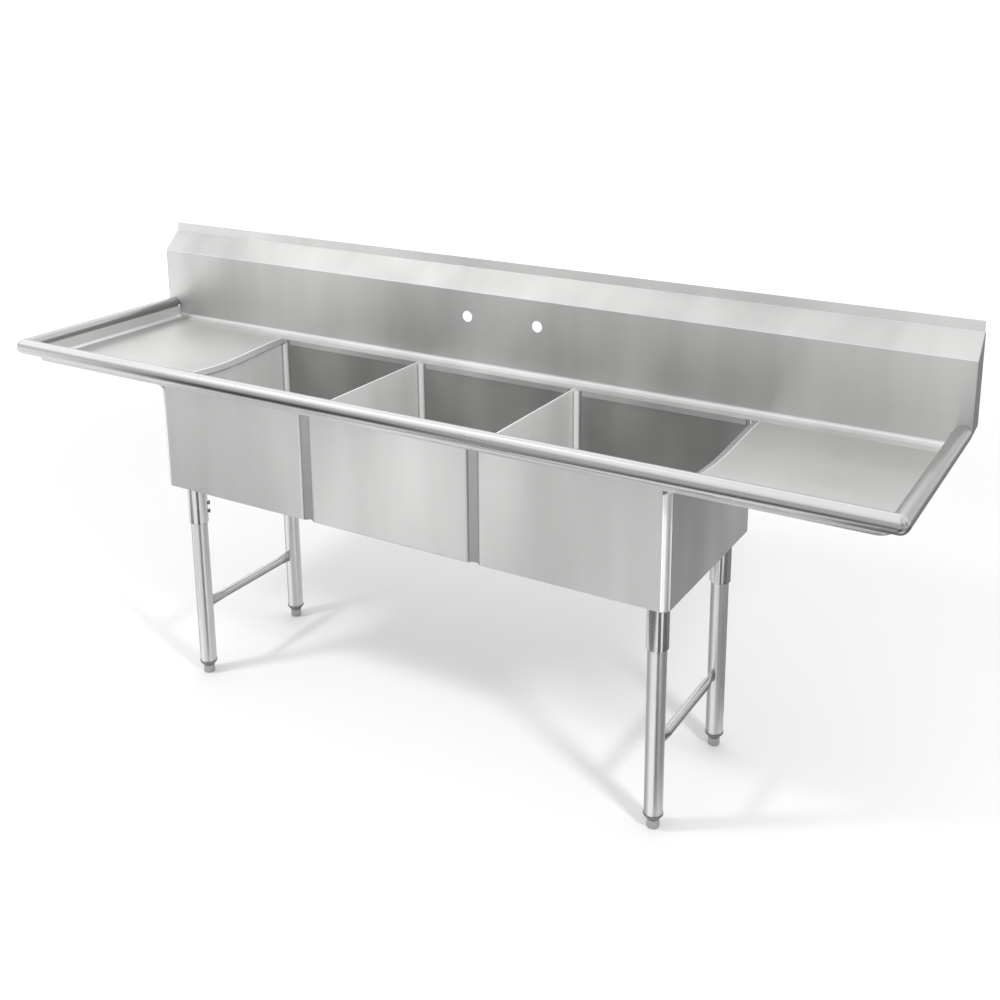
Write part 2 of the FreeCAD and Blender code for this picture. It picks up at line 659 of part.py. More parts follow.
def drain_body():
    flange_top = BOWL_FLOOR_Z + DRAIN_FLANGE_T
    profile = [
        (DRAIN_MOUTH_R, flange_top),
        (DRAIN_FLANGE_R - DRAIN_FLANGE_T, flange_top),
        (DRAIN_FLANGE_R, BOWL_FLOOR_Z),
        (DRAIN_CUP_R, BOWL_FLOOR_Z),
        (DRAIN_CUP_R, CUP_BOTTOM_Z),
        (SPIGOT_R, CUP_BOTTOM_Z),
        (SPIGOT_R, SPIGOT_BOTTOM_Z),
        (SPIGOT_BORE_R, SPIGOT_BOTTOM_Z),
        (SPIGOT_BORE_R, CUP_BOTTOM_Z + DRAIN_WALL),
        (DRAIN_THROAT_R, CUP_BOTTOM_Z + DRAIN_WALL),
        (DRAIN_THROAT_R, SHOULDER_Z),
        (DRAIN_MOUTH_R, SHOULDER_Z),
    ]
    return turned(profile)


def drain_locknut():
    ring = upright(LOCKNUT_R, LOCKNUT_BOTTOM_Z, WASHER_BOTTOM_Z)
    half = LOCKNUT_LUG_WIDTH / 2
    lug = box(THREAD_R, LOCKNUT_LUG_R, -half, half, LOCKNUT_BOTTOM_Z, WASHER_BOTTOM_Z)
    nut = joined(ring, *around_z(lug, LOCKNUT_LUGS).Solids)
    return nut.cut(upright(THREAD_R, LOCKNUT_BOTTOM_Z - PASS, WASHER_BOTTOM_Z + PASS))


def drain_coupling_nut():
    lip_top = SPIGOT_BOTTOM_Z - TAILPIECE_FLANGE_T
    bottom = lip_top - COUPLING_LIP
    nut = Part.Face(Part.makePolygon(hexagon(COUPLING_CORNER_R))).extrude(Vector(0, 0, COUPLING_HEIGHT))
    nut = moved(nut, z=bottom)
    nut = nut.cut(upright(SPIGOT_R + THREAD_CLEARANCE, lip_top, bottom + COUPLING_HEIGHT + PASS))
    return nut.cut(upright(TAILPIECE_NECK_R + THREAD_CLEARANCE, bottom - PASS, lip_top + PASS))


def drain_tailpiece():
    flange_bottom = SPIGOT_BOTTOM_Z - TAILPIECE_FLANGE_T
    neck_bottom = flange_bottom - TAILPIECE_NECK_LENGTH
    bore_r = TAILPIECE_R - TAILPIECE_WALL
    profile = [
        (bore_r, TAILPIECE_BOTTOM_Z),
        (TAILPIECE_R, TAILPIECE_BOTTOM_Z),
        (TAILPIECE_R, neck_bottom),
        (TAILPIECE_NECK_R, neck_bottom),
        (TAILPIECE_NECK_R, flange_bottom),
        (TAILPIECE_FLANGE_R, flange_bottom),
        (TAILPIECE_FLANGE_R, SPIGOT_BOTTOM_Z),
        (bore_r, SPIGOT_BOTTOM_Z),
    ]
    return turned(profile)


def strainer_basket():
    """Perforated cup with a hanging flange, and a knob on a post to lift it by."""
    flange_z = SHOULDER_Z + BASKET_GAP
    knob_z = BASKET_FLOOR_Z + BASKET_POST_TOP
    profile = [
        (0, BASKET_FLOOR_Z - SEAL_STEM),
        (BASKET_POST_R, BASKET_FLOOR_Z - SEAL_STEM),
        (BASKET_POST_R, BASKET_FLOOR_Z),
        (BASKET_R, BASKET_FLOOR_Z),
        (BASKET_R, flange_z),
        (BASKET_FLANGE_R, flange_z),
        (BASKET_FLANGE_R, flange_z + BASKET_WALL),
        (BASKET_R - BASKET_WALL, flange_z + BASKET_WALL),
        (BASKET_R - BASKET_WALL, BASKET_FLOOR_Z + BASKET_WALL),
        (BASKET_POST_R, BASKET_FLOOR_Z + BASKET_WALL),
        (BASKET_POST_R, knob_z),
        (BASKET_KNOB_R, knob_z + BASKET_POST_R),
        (BASKET_KNOB_R, knob_z + BASKET_KNOB_HEIGHT - BASKET_POST_R / 2),
        (BASKET_KNOB_R - BASKET_POST_R / 2, knob_z + BASKET_KNOB_HEIGHT),
        (0, knob_z + BASKET_KNOB_HEIGHT),
    ]
    basket = turned(profile)
    cutters = []
    for ring_r, count in BASKET_HOLE_RINGS:
        hole = upright(BASKET_HOLE_R, BASKET_FLOOR_Z - PASS / 2, BASKET_FLOOR_Z + PASS, ring_r)
        cutters.extend(around_z(hole, count).Solids)
    slot_z = (BASKET_FLOOR_Z + SHOULDER_Z - BASKET_SLOT_HEIGHT) / 2
    slot = box(BASKET_R - PASS / 2, BASKET_R + PASS / 2, -BASKET_SLOT_WIDTH / 2, BASKET_SLOT_WIDTH / 2,
               slot_z, slot_z + BASKET_SLOT_HEIGHT)
    cutters.extend(around_z(slot, BASKET_SLOTS).Solids)
    return basket.cut(Part.makeCompound(cutters))


def basket_seal():
    top = BASKET_FLOOR_Z - SEAL_STEM
    return upright(SEAL_R, top - SEAL_T, top)


# ---------------------------------------------------------------- the whole sink
def at_each_drain(shape):
    """Identical fasteners of the three drains, as one group of separate solids."""
    return Part.makeCompound([moved(shape, x, BOWL_Y) for x in BOWL_CENTERS.values()])


def build():
    """All sub-parts by name."""
    drainboard_left = make_drainboard_left()
    drainboard_right = mirrored(drainboard_left)
    side_rim_left = make_side_rim_left()
    end_cap_left = make_splash_end_cap_left()
    parts = {
        "backsplash": make_backsplash(),
        "splash_end_cap_left": end_cap_left,
        "splash_end_cap_right": mirrored(end_cap_left),
        "drainboard_left": drainboard_left,
        "drainboard_right": drainboard_right,
        "front_apron": make_front_apron(),
        "front_rim": make_front_rim(),
        "side_rim_left": side_rim_left,
        "side_rim_right": mirrored(side_rim_left),
        "socket_set_screws": make_socket_set_screws(),
        "crossbar_left": make_crossbar(-LEG_X),
        "crossbar_right": make_crossbar(LEG_X),
        "drain_gaskets": at_each_drain(upright_ring(GASKET_R, THREAD_R, GASKET_BOTTOM_Z, BOWL_BOTTOM_Z)),
        "drain_washers": at_each_drain(upright_ring(GASKET_R, THREAD_R, WASHER_BOTTOM_Z, GASKET_BOTTOM_Z)),
        "drain_locknuts": at_each_drain(drain_locknut()),
        "drain_coupling_nuts": at_each_drain(drain_coupling_nut()),
    }
    body = drain_body()
    tailpiece = drain_tailpiece()
    basket = strainer_basket()
    seal = basket_seal()
    for side, x in BOWL_CENTERS.items():
        parts["bowl_" + side] = make_bowl(side, x)
        parts["drain_body_" + side] = moved(body, x, BOWL_Y)
        parts["drain_tailpiece_" + side] = moved(tailpiece, x, BOWL_Y)
        parts["strainer_basket_" + side] = moved(basket, x, BOWL_Y)
        parts["basket_seal_" + side] = moved(seal, x, BOWL_Y)
    for side, x in DIVIDERS.items():
        parts["divider_cap_" + side] = make_divider_cap(x)
        parts["front_seam_strip_" + side] = make_seam_strip(x, BOWL_FRONT_Y, 1)
        parts["rear_seam_strip_" + side] = make_seam_strip(x, BOWL_REAR_Y, -1)
    for place, (x, y) in LEGS.items():
        parts["leg_plate_" + place] = make_leg_plate(x, y)
        parts["leg_socket_" + place] = make_leg_socket(x, y)
        parts["leg_tube_" + place] = make_leg_tube(x, y)
        parts["foot_insert_" + place] = make_foot_insert(x, y)
        parts["bullet_foot_" + place] = make_bullet_foot(x, y)
    return parts


def main():
    os.makedirs("parts", exist_ok=True)
    for name, shape in build().items():
        if not shape.isValid() or not shape.Solids:
            raise ValueError(name + " is not a valid solid")
        shape.exportStep("parts/" + name + ".step")
        print(name, len(shape.Solids), "solid(s),", round(shape.Volume / 1000, 1), "cm3")


main()
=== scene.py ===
"""Looks of the three compartment sink: stainless steel materials, weld beads, floor, lights and camera."""
import math

import bpy
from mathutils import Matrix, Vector


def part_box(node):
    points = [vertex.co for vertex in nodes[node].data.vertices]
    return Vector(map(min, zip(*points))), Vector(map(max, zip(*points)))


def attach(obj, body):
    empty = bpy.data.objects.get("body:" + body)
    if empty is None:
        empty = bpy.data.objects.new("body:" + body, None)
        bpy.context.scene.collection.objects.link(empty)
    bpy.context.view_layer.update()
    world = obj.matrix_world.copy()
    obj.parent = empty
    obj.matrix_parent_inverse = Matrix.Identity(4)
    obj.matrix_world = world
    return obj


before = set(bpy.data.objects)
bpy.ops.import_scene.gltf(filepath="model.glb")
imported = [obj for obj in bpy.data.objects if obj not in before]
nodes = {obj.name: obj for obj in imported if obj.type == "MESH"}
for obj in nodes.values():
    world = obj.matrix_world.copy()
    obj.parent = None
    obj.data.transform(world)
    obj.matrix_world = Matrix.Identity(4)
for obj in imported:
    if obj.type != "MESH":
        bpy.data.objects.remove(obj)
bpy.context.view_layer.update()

MM = 0.001


# ---------------------------------------------------------------- shader nodes
NOISE_RANGE = (0.25, 0.75)      # where nearly all of a noise texture's values lie


def new_material(name):
    material = bpy.data.materials.new(name)
    material.use_nodes = True
    tree = material.node_tree
    tree.nodes.clear()
    output = tree.nodes.new("ShaderNodeOutputMaterial")
    shader = tree.nodes.new("ShaderNodeBsdfPrincipled")
    tree.links.new(shader.outputs["BSDF"], output.inputs["Surface"])
    return material, tree, shader


def noise(tree, scale, detail=3.0, roughness=0.55):
    """Noise in the object's own coordinates, with its own scale along X, Y and Z, per metre."""
    place = tree.nodes.new("ShaderNodeTexCoord")
    mapping = tree.nodes.new("ShaderNodeMapping")
    mapping.inputs["Scale"].default_value = scale
    texture = tree.nodes.new("ShaderNodeTexNoise")
    texture.inputs["Scale"].default_value = 1.0
    texture.inputs["Detail"].default_value = detail
    texture.inputs["Roughness"].default_value = roughness
    tree.links.new(place.outputs["Object"], mapping.inputs["Vector"])
    tree.links.new(mapping.outputs["Vector"], texture.inputs["Vector"])
    return texture.outputs["Fac"]


def spread(tree, value, amount):
    """Maps a noise value to the range from minus amount to plus amount."""
    node = tree.nodes.new("ShaderNodeMapRange")
    node.inputs["From Min"].default_value, node.inputs["From Max"].default_value = NOISE_RANGE
    node.inputs["To Min"].default_value = -amount
    node.inputs["To Max"].default_value = amount
    tree.links.new(value, node.inputs["Value"])
    return node.outputs["Result"]


def ramp(tree, value, start, end):
    """0 below start, rising smoothly to 1 at end."""
    node = tree.nodes.new("ShaderNodeMapRange")
    node.interpolation_type = "SMOOTHSTEP"
    node.inputs["From Min"].default_value = start
    node.inputs["From Max"].default_value = end
    tree.links.new(value, node.inputs["Value"])
    return node.outputs["Result"]


def combine(tree, operation, *values):
    """Math node of one or two values, each a number or another node's output."""
    node = tree.nodes.new("ShaderNodeMath")
    node.operation = operation
    for socket, value in zip(node.inputs, values):
        if isinstance(value, (int, float)):
            socket.default_value = value
        else:
            tree.links.new(value, socket)
    return node.outputs["Value"]


def plus(tree, first, second):
    return combine(tree, "ADD", first, second)


def minus(tree, first, second):
    return combine(tree, "SUBTRACT", first, second)


def times(tree, first, second):
    return combine(tree, "MULTIPLY", first, second)


def size_of(tree, value):
    return combine(tree, "ABSOLUTE", value)


def between(tree, value, rise, fall):
    """Rises from 0 to 1 over the first range and falls back to 0 over the second."""
    return minus(tree, ramp(tree, value, *rise), ramp(tree, value, *fall))


def add_share(tree, value, mask, amount):
    """Value, changed by amount where the mask is 1."""
    return plus(tree, value, times(tree, mask, amount))


def grey(tree, value, tint):
    """Turns a brightness value into a faintly tinted colour."""
    node = tree.nodes.new("ShaderNodeCombineColor")
    for channel, factor in zip(("Red", "Green", "Blue"), tint):
        tree.links.new(times(tree, value, factor), node.inputs[channel])
    return node.outputs["Color"]


def bump(tree, height, distance, below=None):
    node = tree.nodes.new("ShaderNodeBump")
    node.inputs["Distance"].default_value = distance
    node.inputs["Strength"].default_value = 1.0
    tree.links.new(height, node.inputs["Height"])
    if below is not None:
        tree.links.new(below, node.inputs["Normal"])
    return node.outputs["Normal"]


def vector_math(tree, operation, *vectors):
    """Vector Math node of one or two vectors, each three numbers or another node's output."""
    node = tree.nodes.new("ShaderNodeVectorMath")
    node.operation = operation
    for socket, vector in zip(node.inputs, vectors):
        if isinstance(vector, tuple):
            socket.default_value = vector
        else:
            tree.links.new(vector, socket)
    return node


def split_vector(tree, vector):
    node = tree.nodes.new("ShaderNodeSeparateXYZ")
    tree.links.new(vector, node.inputs["Vector"])
    return node.outputs["X"], node.outputs["Y"], node.outputs["Z"]


def smooth_normal(tree):
    return tree.nodes.new("ShaderNodeNewGeometry").outputs["Normal"]


def face_normal(tree):
    """X, Y and Z of the flat face's own normal."""
    return split_vector(tree, tree.nodes.new("ShaderNodeNewGeometry").outputs["True Normal"])


def object_place(tree):
    """X, Y and Z in the frame's coordinates, which every node's mesh is in."""
    return split_vector(tree, tree.nodes.new("ShaderNodeTexCoord").outputs["Object"])


def direction_band(tree, direction, toward, inner, outer):
    """1 in the directions within inner degrees of an angle in plan, from +X toward +Y, and 0 past outer."""
    level = vector_math(tree, "MULTIPLY", direction, (1.0, 1.0, 0.0))
    unit = vector_math(tree, "NORMALIZE", level.outputs["Vector"])
    angle = math.radians(toward)
    middle = (math.cos(angle), math.sin(angle), 0.0)
    facing = vector_math(tree, "DOT_PRODUCT", unit.outputs["Vector"], middle)
    start, end = math.cos(math.radians(outer)), math.cos(math.radians(inner))
    return ramp(tree, facing.outputs["Value"], start, end)


# ---------------------------------------------------------------- painted light and shade of single parts
# Each of these takes the steel's brightness and gives it back with painted light and shade in it, and
# with the share by which the part is less of a mirror there, or None.
FACING = (0.8, 0.95)            # a normal's size along an axis, on a face that looks along it
BEND_START = 0.08               # a normal's Z where a bend leaves the upright sheet
BEND_FADE = 0.12

LIP_HEIGHT = 24.0 * MM          # of the splash's upright lip
LIP_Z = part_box("backsplash")[1][2] - LIP_HEIGHT
LIP_BLEND = 2.0 * MM
# Painted light on the splash's upright lip, and painted highlights on its bends.
SPLASH_LIP_PAINTED_LIGHT = 0.12
SPLASH_BENDS = (0.25, 0.50)     # a normal's Z between which a bend's painted highlight is full
SPLASH_BEND_PAINTED_HIGHLIGHT = 0.32


def bends(tree, low, high):
    """1 on the bends between upright and level sheet, where a highlight is painted brighter than the flats.
    """
    _, _, z = split_vector(tree, smooth_normal(tree))
    return between(tree, z, (BEND_START, low), (high, high + BEND_FADE))


def shade_splash(tree, brightness):
    """Painted light on the upright lip along the top, and painted highlights on the bends."""
    _, _, height = object_place(tree)
    lip = ramp(tree, height, LIP_Z, LIP_Z + LIP_BLEND)
    brightness = add_share(tree, brightness, lip, SPLASH_LIP_PAINTED_LIGHT)
    brightness = add_share(tree, brightness, bends(tree, *SPLASH_BENDS), SPLASH_BEND_PAINTED_HIGHLIGHT)
    return brightness, None


bowl_low, bowl_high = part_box("bowl_left")
SKIN = 0.7 * MM                 # about half of the sheet
BOWL_INSIDE_X = -bowl_low[0] - SKIN
BOWL_INSIDE_FRONT_Y = bowl_low[1] + SKIN
BOWL_INSIDE_REAR_Y = bowl_high[1] - SKIN
BOWL_MIDDLE_Y = (bowl_low[1] + bowl_high[1]) / 2
BOWL_END_X = (BOWL_INSIDE_X - 50.0 * MM, BOWL_INSIDE_X - 40.0 * MM)     # start of the row's end corners

# Ranges of X times Y of a normal, which is 0 on a flat wall and 0.5 in the middle of an upright corner.
CORNER_MIDDLE = (0.34, 0.46)
CORNER_EDGE = ((0.01, 0.06), (0.26, 0.36))
CORNER_OUTSIDE = (0.10, 0.24)
NEAR_WALL_EDGE = (0.5, 0.8)     # a normal's X, in the half of a corner next to the side wall
NEAR_FRONT_EDGE = (0.74, 0.88)  # a normal's Y, in the part of a corner next to the front wall

# Painted light on the bowls' inner side walls and painted shade on their inner front and rear walls.
SIDE_WALL_PAINTED_LIGHT = 0.30
LONG_WALL_PAINTED_SHADE = -0.27
# Painted highlight in the bowls' inner corners, and painted shade along their edge at the side wall.
INNER_CORNER_PAINTED_HIGHLIGHT = 0.22
CORNER_EDGE_PAINTED_SHADE = -0.40
# Painted highlight on the outer corners at the row's ends, and painted shade on the other outer corners.
OUTER_CORNER_PAINTED_HIGHLIGHT = 0.30
OUTER_CORNER_PAINTED_SHADE = -0.14
BOWL_SOFTNESS = 0.75
SIDE_WALL_SOFTNESS = 0.8        # as a part of the bowl's


def inside_bowls(tree):
    """1 on the inner faces of the bowls' walls and 0 on the outer ones."""
    x, y, _ = object_place(tree)
    mask = combine(tree, "LESS_THAN", size_of(tree, x), BOWL_INSIDE_X)
    mask = times(tree, mask, combine(tree, "GREATER_THAN", y, BOWL_INSIDE_FRONT_Y))
    return times(tree, mask, combine(tree, "LESS_THAN", y, BOWL_INSIDE_REAR_Y))


def hollow_side(tree):
    """1 in the upright corners' hollow sides, where the normal looks back to the bowl's middle."""
    _, place_y, _ = object_place(tree)
    _, normal_y, _ = face_normal(tree)
    outward = times(tree, minus(tree, place_y, BOWL_MIDDLE_Y), normal_y)
    return combine(tree, "LESS_THAN", outward, 0.0)


def shade_bowl_walls(tree, brightness):
    """Painted light on inner side walls, painted shade on inner front and rear walls; gives the side walls'
    mask too.
    """
    x, y, _ = face_normal(tree)
    inside = inside_bowls(tree)
    side_walls = times(tree, ramp(tree, size_of(tree, x), *FACING), inside)
    long_walls = times(tree, ramp(tree, size_of(tree, y), *FACING), inside)
    brightness = add_share(tree, brightness, side_walls, SIDE_WALL_PAINTED_LIGHT)
    brightness = add_share(tree, brightness, long_walls, LONG_WALL_PAINTED_SHADE)
    return brightness, side_walls


def shade_inner_corners(tree, brightness, turn, hollow):
    """Painted highlight in the corners, painted shade on their edge at the side wall; gives their mask too.
    """
    x, _, _ = face_normal(tree)
    corners = times(tree, ramp(tree, turn, *CORNER_MIDDLE), hollow)
    edges = times(tree, between(tree, turn, *CORNER_EDGE), hollow)
    edges = times(tree, edges, ramp(tree, size_of(tree, x), *NEAR_WALL_EDGE))
    brightness = add_share(tree, brightness, corners, INNER_CORNER_PAINTED_HIGHLIGHT)
    brightness = add_share(tree, brightness, edges, CORNER_EDGE_PAINTED_SHADE)
    return brightness, corners


def shade_outer_corners(tree, brightness, turn, hollow):
    """Painted shade on outer corners, painted highlight at the row's ends by front and rear; gives its
    mask.
    """
    place_x, _, _ = object_place(tree)
    _, y, _ = face_normal(tree)
    corners = times(tree, ramp(tree, turn, *CORNER_OUTSIDE), minus(tree, 1.0, hollow))
    painted_highlight = times(tree, corners, ramp(tree, size_of(tree, y), *NEAR_FRONT_EDGE))
    painted_highlight = times(tree, painted_highlight, ramp(tree, size_of(tree, place_x), *BOWL_END_X))
    brightness = add_share(tree, brightness, painted_highlight, OUTER_CORNER_PAINTED_HIGHLIGHT)
    brightness = add_share(tree, brightness, minus(tree, corners, painted_highlight), OUTER_CORNER_PAINTED_SHADE)
    return brightness, painted_highlight


def shade_bowl(tree, brightness):
    x, y, _ = face_normal(tree)
    turn = size_of(tree, times(tree, x, y))
    hollow = hollow_side(tree)
    brightness, inner_corners = shade_inner_corners(tree, brightness, turn, hollow)
    brightness, outer_corners = shade_outer_corners(tree, brightness, turn, hollow)
    brightness, side_walls = shade_bowl_walls(tree, brightness)
    soft = plus(tree, times(tree, side_walls, SIDE_WALL_SOFTNESS), inner_corners)
    soft = plus(tree, soft, outer_corners)
    return brightness, times(tree, soft, BOWL_SOFTNESS)


RIM_BAND = ((-0.45, -0.12), (-0.02, 0.45))      # a normal's Z in the band of painted shade round a rolled rim
RIM_DEEP_X = ((-0.85, -0.45), (-0.05, 0.35))    # where the front rim's painted shade is darkest
RIM_FADE_X = (-1.25, -0.55)                     # where it fades out to the left
# Shares of the painted shade in the rims' bands.
RIM_DEEP_PAINTED_SHADE = -0.16
FRONT_RIM_PAINTED_SHADE = -0.38
SIDE_RIM_PAINTED_SHADE = -0.10


def painted_rim_shade(tree):
    """1 in the band of painted shade that runs along a rolled rim."""
    _, _, z = split_vector(tree, smooth_normal(tree))
    return between(tree, z, *RIM_BAND)


def shade_front_rim(tree, brightness):
    """Painted shade: a dark band, darkest left of the middle, that fades out at the left end."""
    x, _, _ = object_place(tree)
    band = painted_rim_shade(tree)
    deep = times(tree, band, between(tree, x, *RIM_DEEP_X))
    faded = times(tree, band, ramp(tree, x, *RIM_FADE_X))
    brightness = add_share(tree, brightness, deep, RIM_DEEP_PAINTED_SHADE)
    brightness = add_share(tree, brightness, faded, FRONT_RIM_PAINTED_SHADE)
    return brightness, None


def shade_side_rim(tree, brightness):
    return add_share(tree, brightness, painted_rim_shade(tree), SIDE_RIM_PAINTED_SHADE), None


# Painted reflection bands: angle in plan of the band's middle, half of its full part, half of its whole
# width, and its share.
TUBE_PAINTED_REFLECTIONS = (
    (-127.0, 5.0, 24.0, -0.24),
    (-86.0, 4.0, 20.0, 0.27),
    (-31.0, 2.0, 9.0, 0.14),
)
HALF_TURN = 180.0


def shade_tube(tree, brightness):
    """Painted reflection: upright light and dark bands round a leg, the same on opposite sides."""
    outward = tree.nodes.new("ShaderNodeTexCoord").outputs["Normal"]
    for toward, inner, outer, amount in TUBE_PAINTED_REFLECTIONS:
        for angle in (toward, toward + HALF_TURN):
            band = direction_band(tree, outward, angle, inner, outer)
            brightness = add_share(tree, brightness, band, amount)
    return brightness, None


BAR_UNDERSIDE = (-0.2, 0.3)     # how far a normal looks down, from the crossbar's sides to its underside
# Painted shade on the crossbar's underside.
BAR_UNDERSIDE_PAINTED_SHADE = -0.30


def shade_bar(tree, brightness):
    """Painted shade on the underside."""
    _, _, z = face_normal(tree)
    under = ramp(tree, times(tree, z, -1.0), *BAR_UNDERSIDE)
    return add_share(tree, brightness, under, BAR_UNDERSIDE_PAINTED_SHADE), None


DRIP_LIP_LENGTH = 20.0 * MM
CREASE_X = -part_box("drainboard_left")[1][0] + DRIP_LIP_LENGTH
CREASE_EDGE = (0.8 * MM, 2.2 * MM)
# Painted light on the risers, painted shade on the drip lip, and painted highlights on the crease and
# bends.
RISER_PAINTED_LIGHT = 0.12
DRIP_LIP_PAINTED_SHADE = -0.19
CREASE_PAINTED_HIGHLIGHT = 0.30
DRAINBOARD_BENDS = (0.30, 0.80)
DRAINBOARD_BEND_PAINTED_HIGHLIGHT = 0.34
DRAINBOARD_SOFTNESS = 0.6


def drip_lip(tree):
    """1 on the strip of drainboard that is turned down into the end bowl."""
    x, _, _ = object_place(tree)
    return combine(tree, "LESS_THAN", size_of(tree, x), CREASE_X)


def painted_crease_highlight(tree):
    """1 along the crease between drainboard and drip lip, where a highlight is painted."""
    x, _, _ = object_place(tree)
    away = size_of(tree, minus(tree, size_of(tree, x), CREASE_X))
    return minus(tree, 1.0, ramp(tree, away, *CREASE_EDGE))


def shade_drainboard(tree, brightness):
    """Painted light on upturned sides, painted shade on the drip lip, painted highlights on crease and
    bends.
    """
    x, _, _ = face_normal(tree)
    lip = drip_lip(tree)
    crease = painted_crease_highlight(tree)
    risers = combine(tree, "MAXIMUM", minus(tree, ramp(tree, size_of(tree, x), *FACING), lip), 0.0)
    brightness = add_share(tree, brightness, risers, RISER_PAINTED_LIGHT)
    brightness = add_share(tree, brightness, lip, DRIP_LIP_PAINTED_SHADE)
    brightness = add_share(tree, brightness, crease, CREASE_PAINTED_HIGHLIGHT)
    brightness = add_share(tree, brightness, bends(tree, *DRAINBOARD_BENDS), DRAINBOARD_BEND_PAINTED_HIGHLIGHT)
    soft = combine(tree, "MAXIMUM", crease, risers)
    return brightness, times(tree, soft, DRAINBOARD_SOFTNESS)


# ---------------------------------------------------------------- materials
SKEW = 0.12                     # keeps the grain from standing square to any flat face
GRAIN_AXES = {"x": (1.0, SKEW, 0.0), "y": (0.0, 1.0, SKEW), "z": (SKEW, 0.0, 1.0)}
ALONG, ACROSS = 2.5, 900.0      # streaks per metre
GRAIN_SCALES = {
    "x": (ALONG, ACROSS, ACROSS),
    "y": (ACROSS, ALONG, ACROSS),
    "z": (ACROSS, ACROSS, ALONG),
    "round": (ALONG, ALONG, ACROSS),
}
STREAK_HEIGHT = 0.012 * MM
STREAK_CONTRAST = 0.02
SMUDGE_SCALE = (7.0, 7.0, 7.0)
SMUDGE_CONTRAST = 0.012
ROUGHNESS_CONTRAST = 0.03
BAND_SCALE = (9.0, 9.0, 1.2)    # narrow and upright
STEEL_TINT = (1.0, 1.0, 0.99)


def tangent_across(tree, grain):
    """Tangent at right angles to the polishing grain, which is the way highlights smear."""
    return vector_math(tree, "CROSS_PRODUCT", smooth_normal(tree), grain).outputs["Vector"]


def upright_tangent(tree):
    """Tangent along Z, for tubes that are polished round and round."""
    direction = tree.nodes.new("ShaderNodeCombineXYZ")
    direction.inputs["Z"].default_value = 1.0
    return direction.outputs["Vector"]


def brushed(name, grain, base, roughness, anisotropy, wave=0.6 * MM, wave_scale=(2.2, 2.2, 2.2),
            cloud=0.0, band=0.0, metallic=1.0, shade=None):
    """Stainless steel with a polishing grain, faint handling marks and slightly uneven sheet."""
    material, tree, shader = new_material(name)
    streaks = noise(tree, GRAIN_SCALES[grain], detail=4.0, roughness=0.7)
    smudges = noise(tree, SMUDGE_SCALE, detail=5.0)
    waves = noise(tree, wave_scale, detail=1.0)
    brightness = plus(tree, spread(tree, streaks, STREAK_CONTRAST), base)
    brightness = plus(tree, brightness, spread(tree, smudges, SMUDGE_CONTRAST))
    if cloud:
        brightness = plus(tree, brightness, spread(tree, waves, cloud))
    if band:
        bands = noise(tree, BAND_SCALE, detail=2.0)
        brightness = plus(tree, brightness, spread(tree, bands, band))
    softness = None
    if shade:
        brightness, softness = shade(tree, brightness)
    if softness is None:
        shader.inputs["Metallic"].default_value = metallic
    else:
        tree.links.new(minus(tree, metallic, softness), shader.inputs["Metallic"])
    tree.links.new(grey(tree, brightness, STEEL_TINT), shader.inputs["Base Color"])
    rough = plus(tree, spread(tree, streaks, ROUGHNESS_CONTRAST), roughness)
    rough = plus(tree, rough, spread(tree, smudges, ROUGHNESS_CONTRAST))
    tree.links.new(rough, shader.inputs["Roughness"])
    shader.inputs["Anisotropic"].default_value = anisotropy
    tangent = upright_tangent(tree) if grain == "round" else tangent_across(tree, GRAIN_AXES[grain])
    tree.links.new(tangent, shader.inputs["Tangent"])
    uneven = bump(tree, waves, wave)
    tree.links.new(bump(tree, streaks, STREAK_HEIGHT, below=uneven), shader.inputs["Normal"])
    return material


GRIT_CONTRAST = 0.15            # of the base brightness
PATCH_SCALE = (30.0, 30.0, 30.0)
PATCH_CONTRAST = 0.06


def matte(name, base, roughness, grit_scale, grit_height, metallic=0.0, tint=(1.0, 1.0, 1.0)):
    """Rubber, fibre or cast metal with a fine grit."""
    material, tree, shader = new_material(name)
    grit = noise(tree, (grit_scale, grit_scale, grit_scale), detail=6.0)
    patches = noise(tree, PATCH_SCALE, detail=3.0)
    brightness = plus(tree, spread(tree, grit, GRIT_CONTRAST * base), base)
    tree.links.new(grey(tree, brightness, tint), shader.inputs["Base Color"])
    rough = plus(tree, spread(tree, patches, PATCH_CONTRAST), roughness)
    tree.links.new(rough, shader.inputs["Roughness"])
    shader.inputs["Metallic"].default_value = metallic
    tree.links.new(bump(tree, grit, grit_height), shader.inputs["Normal"])
    return material


